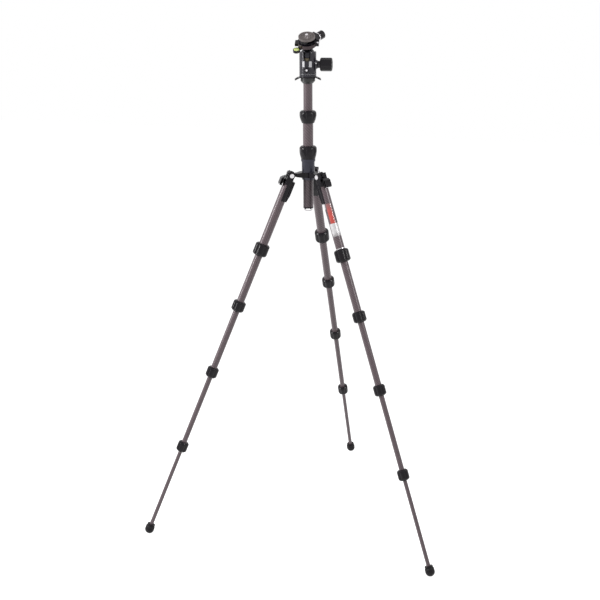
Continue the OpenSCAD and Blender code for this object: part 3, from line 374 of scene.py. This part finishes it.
# %% [markdown]
# Some pieces carry two finishes. The spider's sleeve and arms are one blue-grey casting, but its arms get
# black paint as painted shade, because they lie out of the light. The clamp knob has a bright washer, and
# small screws are bright in black castings. A face gets its second finish by where it lies in the piece's
# own frame, so the solid itself stays as it came.

# %% Frames of the head and its clamp
HEAD_TURN, HEAD_TILT, CLAMP_TURN = (math.radians(d) for d in (11, 28, 50))
BALL_HEIGHT = 1.214692
FRAMES["head"] = Matrix.Translation((0, COLUMN_Y, BALL_HEIGHT)) @ Matrix.Rotation(HEAD_TURN, 4, "Z")
FRAMES["tilted"] = FRAMES["head"] @ Matrix.Rotation(HEAD_TILT, 4, "X")
FRAMES["clamp"] = FRAMES["tilted"] @ Matrix.Rotation(CLAMP_TURN, 4, "Z")
print("ball centre", [round(v, 4) for v in FRAMES["head"].to_translation()])

# %% Second finishes by place, in millimetres
SLEEVE_R = 16.2
WASHER_NEAR, WASHER_FAR = 34.7, 36.4
BAR_SCREW_X, BAR_SCREW_Y, BAR_SCREW_R, BAR_SCREW_LOW = 25.8, -5, 2.4, 34.4
RIM_NEAR, RIM_FAR, RIM_LOW, RIM_HIGH = 20.9, 23.1, 25.4, 36.1
DOVETAIL_HALF, DOVETAIL_TOP = 16, 44.35
TAB_SCREW_LOW = 30.52


def shaded_spider_arms(x, y, z):
    return math.hypot(x, y) > SLEEVE_R


def knob_washer(x, y, z):
    return WASHER_NEAR < x < WASHER_FAR


def bar_screw(x, y, z):
    return math.hypot(x - BAR_SCREW_X, y - BAR_SCREW_Y) < BAR_SCREW_R and z > BAR_SCREW_LOW


def clamp_rim(x, y, z):
    return RIM_NEAR < math.hypot(x, y) < RIM_FAR and RIM_LOW < z < RIM_HIGH


def plate_dovetail(x, y, z):
    return z < DOVETAIL_TOP and max(abs(x), abs(y)) < DOVETAIL_HALF


def tab_screw(x, y, z):
    return z > TAB_SCREW_LOW


def paint_part(name, matrix, belongs, finish):
    mesh = nodes[name].data
    mesh.materials.append(finish)
    slot = len(mesh.materials) - 1
    back = matrix.inverted()
    inside = [belongs(*(back @ v.co / MM)) for v in mesh.vertices]
    painted = [face for face in mesh.polygons if all(inside[k] for k in face.vertices)]
    for face in painted:
        face.material_index = slot
    print(name, "has", len(painted), "faces in", finish.name)


# The spider's arms get black paint as painted shade: they are the same blue-grey casting as the sleeve,
# only out of the light.
paint_part("spider", FRAMES["column"], shaded_spider_arms, BLACK_PAINT)
paint_part("clamp_knob", FRAMES["clamp"], knob_washer, BRIGHT_STEEL)
paint_part("clamp_body", FRAMES["tilted"], bar_screw, BRIGHT_STEEL)
paint_part("clamp_body", FRAMES["tilted"], clamp_rim, WARM_METAL)
paint_part("release_plate", FRAMES["clamp"], plate_dovetail, BLACK_PAINT)
for side in LEG_TURNS:
    paint_part("leg_%s_stop_tab" % side, FRAMES[side], tab_screw, BRIGHT_STEEL)

# %% [markdown]
# Every added piece is closed, gets one finish and rides with a body of the frame, so that it moves when
# that body moves.

# %% Helpers: one finished piece, and a frame moved by millimetres
SAME_POINT = 1e-7


def finished_piece(name, points, faces, finish, body):
    mesh = bpy.data.meshes.new(name)
    mesh.from_pydata([tuple(p) for p in points], [], faces)
    shape = bmesh.new()
    shape.from_mesh(mesh)
    bmesh.ops.remove_doubles(shape, verts=shape.verts, dist=SAME_POINT)
    bmesh.ops.recalc_face_normals(shape, faces=shape.faces)
    shape.to_mesh(mesh)
    shape.free()
    piece = bpy.data.objects.new(name, mesh)
    bpy.context.scene.collection.objects.link(piece)
    mesh.materials.append(finish)
    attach(piece, body)
    print(name, "has", len(mesh.polygons), "faces and rides with", body)


def moved(matrix, x, y, z):
    return matrix @ Matrix.Translation((x * MM, y * MM, z * MM))


# %% [markdown]
# The right leg carries a label: a red patch that fades out at its top, and below it a silver foil. Beside
# the red sits a small pale sheet in the foil's finish. The label is a thin sheet bent round the tube. It
# is built as a strip of short straight steps, with a real thickness, so that it catches light on its edge.
# Nothing is written on it.

# %% Helper: a thin sheet bent round an axis
def bent_sheet(name, matrix, radius, thickness, turns, heights, finish, body, steps):
    outer = radius + thickness
    low, high = heights
    rows = []
    for k in range(steps + 1):
        turn = math.radians(turns[0] + (turns[1] - turns[0]) * k / steps)
        for r, z in ((radius, low), (radius, high), (outer, high), (outer, low)):
            rows.append(matrix @ (Vector((r * math.cos(turn), r * math.sin(turn), z)) * MM))
    faces = [(4 * k + i, 4 * k + (i + 1) % 4, 4 * k + 4 + (i + 1) % 4, 4 * k + 4 + i)
             for k in range(steps) for i in range(4)]
    faces += [(0, 1, 2, 3), tuple(4 * steps + i for i in (3, 2, 1, 0))]
    finished_piece(name, rows, faces, finish, body)


# %% Label finishes
STREAK_SCALE, STREAK_DETAIL = 90, 2
CRUMPLE_SCALE, CRUMPLE_DETAIL = 110, 4
RED_FADE, FOIL_FADE = (0.070, 0.092), (0.140, 0.150)
RED_DARK, RED_LIGHT, RED_WORN = (0.48, 0.035, 0.025), (0.78, 0.115, 0.09), (0.30, 0.13, 0.13)
FOIL_DARK, FOIL_LIGHT, FOIL_WORN = (0.42, 0.41, 0.42), (0.95, 0.93, 0.94), (0.30, 0.28, 0.29)
RED_BUMP, FOIL_BUMP, LABEL_DEPTH = 0.15, 0.1, 0.0002


def label_noise(tree, scale, detail, ends):
    point, (x, y, z) = own_coordinates(tree, FRAMES["right"])
    pattern = noise(tree, point, scale, detail)
    fade = node_of(tree, "ShaderNodeMapRange")
    set_inputs(fade, {"From Min": ends[0], "From Max": ends[1]})
    tree.links.new(z, fade.inputs["Value"])
    return pattern, fade.outputs[0]


def faded_red():
    material, tree, shader = material_tree("label_red")
    streak, fade = label_noise(tree, STREAK_SCALE, STREAK_DETAIL, RED_FADE)
    red = colour_mix(tree, streak, RED_DARK, RED_LIGHT)
    tree.links.new(colour_mix(tree, fade, RED_WORN, red), shader.inputs["Base Color"])
    set_inputs(shader, {"Roughness": 0.32, "Coat Weight": 0.5})
    bump(tree, shader, streak, RED_BUMP, LABEL_DEPTH)
    return material


def silver_foil():
    material, tree, shader = material_tree("label_foil")
    crumple, fade = label_noise(tree, CRUMPLE_SCALE, CRUMPLE_DETAIL, FOIL_FADE)
    foil = colour_mix(tree, crumple, FOIL_DARK, FOIL_LIGHT)
    tree.links.new(colour_mix(tree, fade, foil, FOIL_WORN), shader.inputs["Base Color"])
    set_inputs(shader, {"Roughness": 0.34, "Metallic": 0.2})
    bump(tree, shader, crumple, FOIL_BUMP, LABEL_DEPTH)
    return material


# %% Label on the right leg: turns in degrees from the camera's side, heights in millimetres
TUBE_R = 11.0
SHEET_GAP = 0.02
LABEL_SHEET = 0.12
CAMERA_SIDE = 43
RED, FOIL = faded_red(), silver_foil()
LABEL = (("label_red", (-30, 33), (68, 117.5), RED, 12),
         ("label_foil", (-75, 58), (117.6, 150), FOIL, 20),
         ("label_corner", (48, 80), (67, 80), FOIL, 6))
for name, turns, heights, finish, steps in LABEL:
    turns = [CAMERA_SIDE + turn for turn in turns]
    bent_sheet(name, FRAMES["right"], TUBE_R + SHEET_GAP, LABEL_SHEET, turns, heights, finish,
               "leg_right_1", steps)

# %% [markdown]
# Two short white bars stand beside the drop notch on the front of the housing. They are painted on
# the real head, so here they are sheets a tenth of a millimetre thick on the housing's curve.

# %% Bars on the housing
HOUSING_R = 20.2
FRONT = -90
PAINT_SHEET = 0.1
BAR_HEIGHTS = (-28.3, -14.7)
BAR_EDGES = {"left": (-11.0, -6.0), "right": (4.7, 11.0)}
BAR_STEPS = 6
for name, edges in BAR_EDGES.items():
    turns = [FRONT + math.degrees(math.asin(edge / HOUSING_R)) for edge in edges]
    bent_sheet("front_bar_" + name, FRAMES["head"], HOUSING_R + SHEET_GAP, PAINT_SHEET, turns,
               BAR_HEIGHTS, MARK_WHITE, "housing", BAR_STEPS)

# %% [markdown]
# A pan scale runs round the head's turning base: a short line every five degrees. This is work for
# Geometry Nodes. A circle gives the points, a small box is set on every point and turned to face
# outwards, and the result is made one plain mesh. The same function builds a second tree, which
# sets round studs on the plate.

# %% The tree that sets marks round a circle
STUD_SIDES = 10


def ring_tree(shape):
    tree = bpy.data.node_groups.new("ring_of_" + shape, "GeometryNodeTree")
    sockets = {}
    for name, kind in (("Count", "Int"), ("Radius", "Float"), ("Size", "Vector")):
        socket = tree.interface.new_socket(name, in_out="INPUT", socket_type="NodeSocket" + kind)
        sockets[name] = socket.identifier
    tree.interface.new_socket("Geometry", in_out="OUTPUT", socket_type="NodeSocketGeometry")
    given = node_of(tree, "NodeGroupInput")
    result = node_of(tree, "NodeGroupOutput")
    circle = node_of(tree, "GeometryNodeMeshCircle")
    tree.links.new(given.outputs["Count"], circle.inputs["Vertices"])
    tree.links.new(given.outputs["Radius"], circle.inputs["Radius"])
    if shape == "boxes":
        mark = node_of(tree, "GeometryNodeMeshCube")
        tree.links.new(given.outputs["Size"], mark.inputs["Size"])
    else:
        mark = node_of(tree, "GeometryNodeMeshCylinder")
        mark.inputs["Vertices"].default_value = STUD_SIDES
        split = node_of(tree, "ShaderNodeSeparateXYZ")
        tree.links.new(given.outputs["Size"], split.inputs[0])
        tree.links.new(split.outputs["X"], mark.inputs["Radius"])
        tree.links.new(split.outputs["Z"], mark.inputs["Depth"])
    place = node_of(tree, "GeometryNodeInputPosition")
    facing = node_of(tree, "FunctionNodeAlignRotationToVector", axis="X")
    tree.links.new(place.outputs[0], facing.inputs["Vector"])
    spread = node_of(tree, "GeometryNodeInstanceOnPoints")
    tree.links.new(circle.outputs["Mesh"], spread.inputs["Points"])
    tree.links.new(mark.outputs["Mesh"], spread.inputs["Instance"])
    tree.links.new(facing.outputs["Rotation"], spread.inputs["Rotation"])
    real = node_of(tree, "GeometryNodeRealizeInstances")
    tree.links.new(spread.outputs["Instances"], real.inputs["Geometry"])
    tree.links.new(real.outputs["Geometry"], result.inputs["Geometry"])
    return tree, sockets


# %% Helpers: run the tree, and keep its results as one piece
def ring_mesh(built, matrix, count, radius, size):
    tree, sockets = built
    carrier = bpy.data.objects.new("carrier", bpy.data.meshes.new("carrier"))
    bpy.context.scene.collection.objects.link(carrier)
    modifier = carrier.modifiers.new("marks", "NODES")
    modifier.node_group = tree
    values = {"Count": count, "Radius": radius * MM, "Size": [v * MM for v in size]}
    for name, value in values.items():
        modifier[sockets[name]] = value
    seen = carrier.evaluated_get(bpy.context.evaluated_depsgraph_get())
    mesh = bpy.data.meshes.new_from_object(seen)
    bpy.data.objects.remove(carrier)
    mesh.transform(matrix)
    return mesh


def one_piece(name, meshes, finish, body):
    points, faces = [], []
    for mesh in meshes:
        start = len(points)
        points += [v.co.copy() for v in mesh.vertices]
        faces += [tuple(start + k for k in face.vertices) for face in mesh.polygons]
    finished_piece(name, points, faces, finish, body)


# %% Pan scale on the turning base: count, radius, size and drop of the fine and the long lines
BASE_GAP = 0.3
SCALE_LINES = ((72, 20.22, (0.1, 0.28, 1.6), 1.9), (12, 20.23, (0.1, 0.34, 2.4), 2.2))

boxes = ring_tree("boxes")
base_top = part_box("head_housing")[0][2] - BASE_GAP * MM
scale = [ring_mesh(boxes, Matrix.Translation((0, COLUMN_Y, base_top - drop * MM)), count, radius, size)
         for count, radius, size, drop in SCALE_LINES]
one_piece("pan_scale", scale, MARK_WHITE, "upper_column")

# %% Studs on the release plate: count and radius of each ring
PLATE_TOP = 49.9
STUD_RISE = 0.1
STUD_SIZE = (0.55, 0.55, 0.3)
STUD_RINGS = ((22, 9.0), (34, 13.3), (38, 15.4))
STUD_RUBBER = grained("stud_rubber", (0.030, 0.024, 0.024), (0.060, 0.050, 0.048),
                      roughness=0.5, grain_size=0.0012, depth=0.0002)

studs = ring_tree("studs")
stud_plane = moved(FRAMES["clamp"], 0, 0, PLATE_TOP + STUD_RISE)
rings = [ring_mesh(studs, stud_plane, count, radius, STUD_SIZE) for count, radius in STUD_RINGS]
one_piece("plate_studs", rings, STUD_RUBBER, "release_plate")

# %% [markdown]
# The spirit level is a small drum of yellow-green fluid under a clear dome. A black ring printed on
# the dome shows where the bubble has to stand, and the bubble lies at the uphill side, because
# the head is tilted. Both are small round forms, made as a lathe would: a profile turned once.

# %% Helper: a turned form
TURN_STEPS = 32


def turned(name, matrix, profile, finish, body, steps=TURN_STEPS):
    points = []
    for k in range(steps):
        turn = math.tau * k / steps
        points += [matrix @ (Vector((r * math.cos(turn), r * math.sin(turn), z)) * MM) for r, z in profile]
    n = len(profile)
    faces = [(n * k + i, n * k + i + 1, n * ((k + 1) % steps) + i + 1, n * ((k + 1) % steps) + i)
             for k in range(steps) for i in range(n - 1)]
    finished_piece(name, points, faces, finish, body)


# %% Ring and bubble of the spirit level
LEVEL_TURN = math.radians(222)
LEVEL_OUT = 31.6
LEVEL_TOP = 28.1
RING_DEPTH, BUBBLE_DEPTH = 0.32, 0.45
RING_PROFILE = [(2.5, 0), (2.5, 0.12), (2.9, 0.12), (2.9, 0), (2.5, 0)]
BUBBLE_R, BUBBLE_HALF, BUBBLE_STEP = 2.0, 0.35, 15
UPHILL_X, UPHILL_Y = 0.6, 2.6
BUBBLE = grained("level_bubble", (0.80, 0.88, 0.55), (0.92, 0.96, 0.72),
                 roughness=0.08, grain_size=0.004, depth=0.00005, coat=0.5)

level_axis = moved(FRAMES["tilted"] @ Matrix.Rotation(LEVEL_TURN, 4, "Z"), LEVEL_OUT, 0, 0)
ring_place = moved(level_axis, 0, 0, LEVEL_TOP - RING_DEPTH)
turned("level_ring", ring_place, RING_PROFILE, BLACK_PAINT, "clamp")
bubble_profile = [(BUBBLE_R * math.sin(math.radians(a)), BUBBLE_HALF * math.cos(math.radians(a)))
                  for a in range(0, 181, BUBBLE_STEP)]
bubble_place = moved(level_axis, UPHILL_X, UPHILL_Y, LEVEL_TOP - BUBBLE_DEPTH)
turned("level_bubble", bubble_place, bubble_profile, BUBBLE, "clamp")

# %% [markdown]
# The pan knob has a plain bright disc in its outer end, a painted highlight where light glints on the
# knob's end. The first lock of the right leg gets a thin bright ring at its upper edge, a painted
# highlight set on this leg only, where light catches that edge.

# %% Disc and ring
KNOB_HEIGHT = -34.75
DISC_DEPTH = 0.58
DISC_PROFILE = [(0, 0), (2.4, 0), (2.4, 0.35), (2.0, 0.55), (0, 0.55)]
knob_axis = moved(FRAMES["head"], 0, 0, KNOB_HEIGHT) @ Matrix.Rotation(math.pi / 2, 4, "X")
to_head = FRAMES["head"].inverted()
knob_face = max(-(to_head @ v.co).y for v in nodes["pan_knob"].data.vertices) / MM
# This bright disc is a painted highlight on the knob's end.
turned("pan_highlight_disc", moved(knob_axis, 0, 0, knob_face - DISC_DEPTH), DISC_PROFILE, BRIGHT_STEEL, "pan_knob")

RING_LOW = 180.0
RING_INNER, RING_MIDDLE, RING_OUTER = 11.05, 11.9, 12.2
RING_BEVEL, RING_HEIGHT = 0.4, 1.2
RING_STEPS = 40
# This bright ring is a painted highlight on the lock's upper edge, set on the right leg only.
lock_ring = [(RING_INNER, RING_LOW), (RING_MIDDLE, RING_LOW), (RING_OUTER, RING_LOW + RING_BEVEL),
             (RING_OUTER, RING_LOW + RING_HEIGHT), (RING_INNER, RING_LOW + RING_HEIGHT),
             (RING_INNER, RING_LOW)]
turned("lock_ring_right", FRAMES["right"], lock_ring, BRIGHT_STEEL, "leg_right_1", RING_STEPS)
